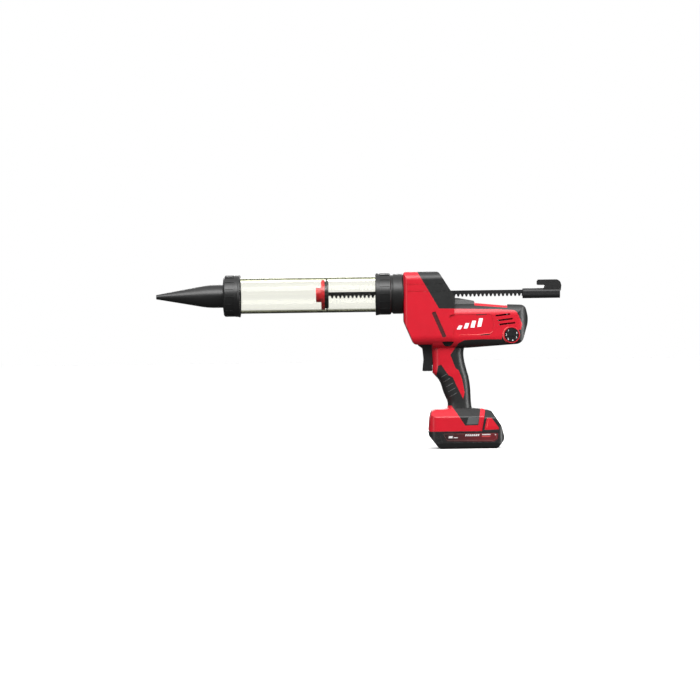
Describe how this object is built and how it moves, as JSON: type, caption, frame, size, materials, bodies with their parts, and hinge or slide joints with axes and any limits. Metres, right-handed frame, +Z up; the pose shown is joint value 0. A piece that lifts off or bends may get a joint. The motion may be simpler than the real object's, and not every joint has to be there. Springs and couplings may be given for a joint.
{
  "type": "battery caulking gun",
  "caption": "Cordless caulking gun: motor-driven rack pushes a plunger through a clear foil-pack barrel to a tapered nozzle; trigger, speed dial and slide-off battery.",
  "frame": {"origin": "centre of the battery pack's underside, on the plane between the housing halves", "axes": "+X to the rear with the nozzle pointing to -X, +Z up, -Y to the tool's left side with the speed dial"},
  "size_m": [0.6252, 0.076, 0.2726],
  "materials": {
    "red_shell": "satin",
    "soft_grip": "matte",
    "steel_screws": "satin",
    "black_plastic": "satin",
    "clear_tube": "gloss",
    "ring_black": "satin",
    "piston_red": "satin",
    "piston_seal": "matte",
    "rack_steel": "satin",
    "cast_alloy": "satin",
    "guide_plastic": "satin",
    "gear_steel": "satin",
    "bearing_bronze": "satin",
    "gearbox_plastic": "satin",
    "motor_steel": "satin",
    "armature_iron": "satin",
    "fan_plastic": "satin",
    "spring_steel": "satin",
    "switch_plastic": "satin",
    "board_green": "satin",
    "terminal_brass": "satin",
    "pack_black": "satin",
    "latch_red": "satin",
    "cells": "satin"
  },
  "bodies": {
    "tool": {"housing_left": "red_shell", "housing_right": "red_shell", "overmold_left": "soft_grip", "overmold_right": "soft_grip", "housing_screws": "steel_screws", "coupling_ring": "ring_black", "coupling_screws": "steel_screws", "gearcase_left": "cast_alloy", "gearcase_right": "cast_alloy", "rack_guide": "guide_plastic", "shaft_bearings": "bearing_bronze", "gearbox_case": "gearbox_plastic", "motor_can": "motor_steel", "motor_endbell": "cast_alloy", "switch_module": "switch_plastic", "dial_board": "board_green", "terminal_block": "switch_plastic", "terminal_blades": "terminal_brass", "trigger_spring": "spring_steel"},
    "push_rod": {"plunger": "piston_red", "plunger_seal": "piston_seal", "plunger_screw": "steel_screws", "rack": "rack_steel", "rod_handle": "black_plastic", "handle_pin": "rack_steel"},
    "pinion": {"pinion_shaft": "gear_steel"},
    "clutch": {"clutch_cone": "gear_steel"},
    "drive_gear": {"drive_gear": "gear_steel"},
    "layshaft": {"layshaft": "gear_steel"},
    "carrier_1": {"carrier_1": "gear_steel"},
    "carrier_2": {"carrier_2": "gear_steel"},
    "rotor": {"armature": "armature_iron", "motor_fan": "fan_plastic"},
    "trigger": {"trigger": "black_plastic"},
    "lock_button": {"lock_button": "black_plastic"},
    "speed_dial": {"speed_dial": "black_plastic"},
    "pack": {"pack_tray": "pack_black", "pack_cover": "pack_black", "battery_cells": "cells", "pack_board": "board_green", "latch_spring_left": "spring_steel", "latch_spring_right": "spring_steel"},
    "latch_left": {"latch_left": "latch_red"},
    "latch_right": {"latch_right": "latch_red"},
    "barrel": {"barrel_tube": "clear_tube"},
    "rear_cap": {"rear_cap": "black_plastic"},
    "nozzle": {"nozzle": "black_plastic"},
    "front_cap": {"front_cap": "black_plastic"},
    "planet_1_1": {"planet_1_1": "gear_steel"},
    "planet_1_2": {"planet_1_2": "gear_steel"},
    "planet_1_3": {"planet_1_3": "gear_steel"},
    "planet_2_1": {"planet_2_1": "gear_steel"},
    "planet_2_2": {"planet_2_2": "gear_steel"},
    "planet_2_3": {"planet_2_3": "gear_steel"}
  },
  "joints": [
    {"name": "rack_slide", "type": "slide", "parent": "tool", "child": "push_rod", "axis": [-1, 0, 0], "range_m": [-0.084, 0.09]},
    {"name": "pinion_spin", "type": "hinge", "parent": "tool", "child": "pinion", "pos_m": [-0.062, 0, 0.2235], "axis": [0, 1, 0], "range_deg": [-430, 402]},
    {"name": "rotor_spin", "type": "hinge", "parent": "tool", "child": "rotor", "pos_m": [0, 0, 0.189], "axis": [1, 0, 0], "continuous": true},
    {"name": "carrier_1_spin", "type": "hinge", "parent": "tool", "child": "carrier_1", "pos_m": [0, 0, 0.189], "axis": [1, 0, 0], "continuous": true},
    {"name": "carrier_2_spin", "type": "hinge", "parent": "tool", "child": "carrier_2", "pos_m": [0, 0, 0.189], "axis": [1, 0, 0], "continuous": true},
    {"name": "planet_1_1_spin", "type": "hinge", "parent": "carrier_1", "child": "planet_1_1", "pos_m": [0, 0.0108, 0.189], "axis": [1, 0, 0], "continuous": true},
    {"name": "planet_1_2_spin", "type": "hinge", "parent": "carrier_1", "child": "planet_1_2", "pos_m": [0, -0.0054, 0.19835], "axis": [1, 0, 0], "continuous": true},
    {"name": "planet_1_3_spin", "type": "hinge", "parent": "carrier_1", "child": "planet_1_3", "pos_m": [0, -0.0054, 0.17965], "axis": [1, 0, 0], "continuous": true},
    {"name": "planet_2_1_spin", "type": "hinge", "parent": "carrier_2", "child": "planet_2_1", "pos_m": [0, 0.0108, 0.189], "axis": [1, 0, 0], "continuous": true},
    {"name": "planet_2_2_spin", "type": "hinge", "parent": "carrier_2", "child": "planet_2_2", "pos_m": [0, -0.0054, 0.19835], "axis": [1, 0, 0], "continuous": true},
    {"name": "planet_2_3_spin", "type": "hinge", "parent": "carrier_2", "child": "planet_2_3", "pos_m": [0, -0.0054, 0.17965], "axis": [1, 0, 0], "continuous": true},
    {"name": "layshaft_spin", "type": "hinge", "parent": "tool", "child": "layshaft", "pos_m": [-0.062, 0, 0.189], "axis": [0, 1, 0], "continuous": true},
    {"name": "drive_gear_spin", "type": "hinge", "parent": "tool", "child": "drive_gear", "pos_m": [-0.062, 0, 0.2235], "axis": [0, 1, 0], "continuous": true},
    {"name": "clutch_close", "type": "slide", "parent": "pinion", "child": "clutch", "axis": [0, -1, 0], "range_m": [0, 0.00091]},
    {"name": "trigger_pull", "type": "slide", "parent": "tool", "child": "trigger", "axis": [1, 0, 0], "range_m": [0, 0.0065], "stiffness_N_per_m": 900, "springref_m": -0.003, "deforming": ["trigger_spring"]},
    {"name": "lock_push", "type": "slide", "parent": "tool", "child": "lock_button", "axis": [0, -1, 0], "range_m": [0, 0.0024]},
    {"name": "dial_turn", "type": "hinge", "parent": "tool", "child": "speed_dial", "pos_m": [0.0711, 0, 0.1735], "axis": [0, 1, 0], "range_deg": [-130, 130]},
    {"name": "pack_release", "type": "slide", "parent": "tool", "child": "pack", "axis": [1, 0, 0], "range_m": [0, 0.11]},
    {"name": "latch_left_press", "type": "slide", "parent": "pack", "child": "latch_left", "axis": [0, 1, 0], "range_m": [0, 0.003], "stiffness_N_per_m": 800, "springref_m": -0.001, "deforming": ["latch_spring_left"]},
    {"name": "latch_right_press", "type": "slide", "parent": "pack", "child": "latch_right", "axis": [0, -1, 0], "range_m": [0, 0.003], "stiffness_N_per_m": 800, "springref_m": -0.001, "deforming": ["latch_spring_right"]},
    {"name": "barrel_unscrew", "type": "slide", "parent": "tool", "child": "barrel", "axis": [-1, 0, 0], "range_m": [0, 0.012]},
    {"name": "rear_cap_turn", "type": "hinge", "parent": "barrel", "child": "rear_cap", "pos_m": [-0.12, 0, 0.2395], "axis": [1, 0, 0], "range_deg": [0, 720]},
    {"name": "nozzle_release", "type": "slide", "parent": "barrel", "child": "nozzle", "axis": [-1, 0, 0], "range_m": [0, 0.021]},
    {"name": "front_cap_turn", "type": "hinge", "parent": "nozzle", "child": "front_cap", "pos_m": [-0.36, 0, 0.2395], "axis": [1, 0, 0], "range_deg": [0, 1260]}
  ],
  "couplings": [
    {"joint": "pinion_spin", "follows": "rack_slide", "rad_per_m": -83.333},
    {"joint": "carrier_1_spin", "follows": "rotor_spin", "ratio": 0.16667},
    {"joint": "carrier_2_spin", "follows": "rotor_spin", "ratio": 0.027778},
    {"joint": "planet_1_1_spin", "follows": "rotor_spin", "ratio": -0.41667},
    {"joint": "planet_2_1_spin", "follows": "rotor_spin", "ratio": -0.069444},
    {"joint": "planet_1_2_spin", "follows": "rotor_spin", "ratio": -0.41667},
    {"joint": "planet_2_2_spin", "follows": "rotor_spin", "ratio": -0.069444},
    {"joint": "planet_1_3_spin", "follows": "rotor_spin", "ratio": -0.41667},
    {"joint": "planet_2_3_spin", "follows": "rotor_spin", "ratio": -0.069444},
    {"joint": "layshaft_spin", "follows": "rotor_spin", "ratio": 0.0092593},
    {"joint": "drive_gear_spin", "follows": "rotor_spin", "ratio": -0.0049383},
    {"joint": "clutch_close", "follows": "trigger_pull", "ratio": 0.13846},
    {"joint": "rear_cap_turn", "follows": "barrel_unscrew", "rad_per_m": 1047.2},
    {"joint": "front_cap_turn", "follows": "nozzle_release", "rad_per_m": 1047.2}
  ]
}
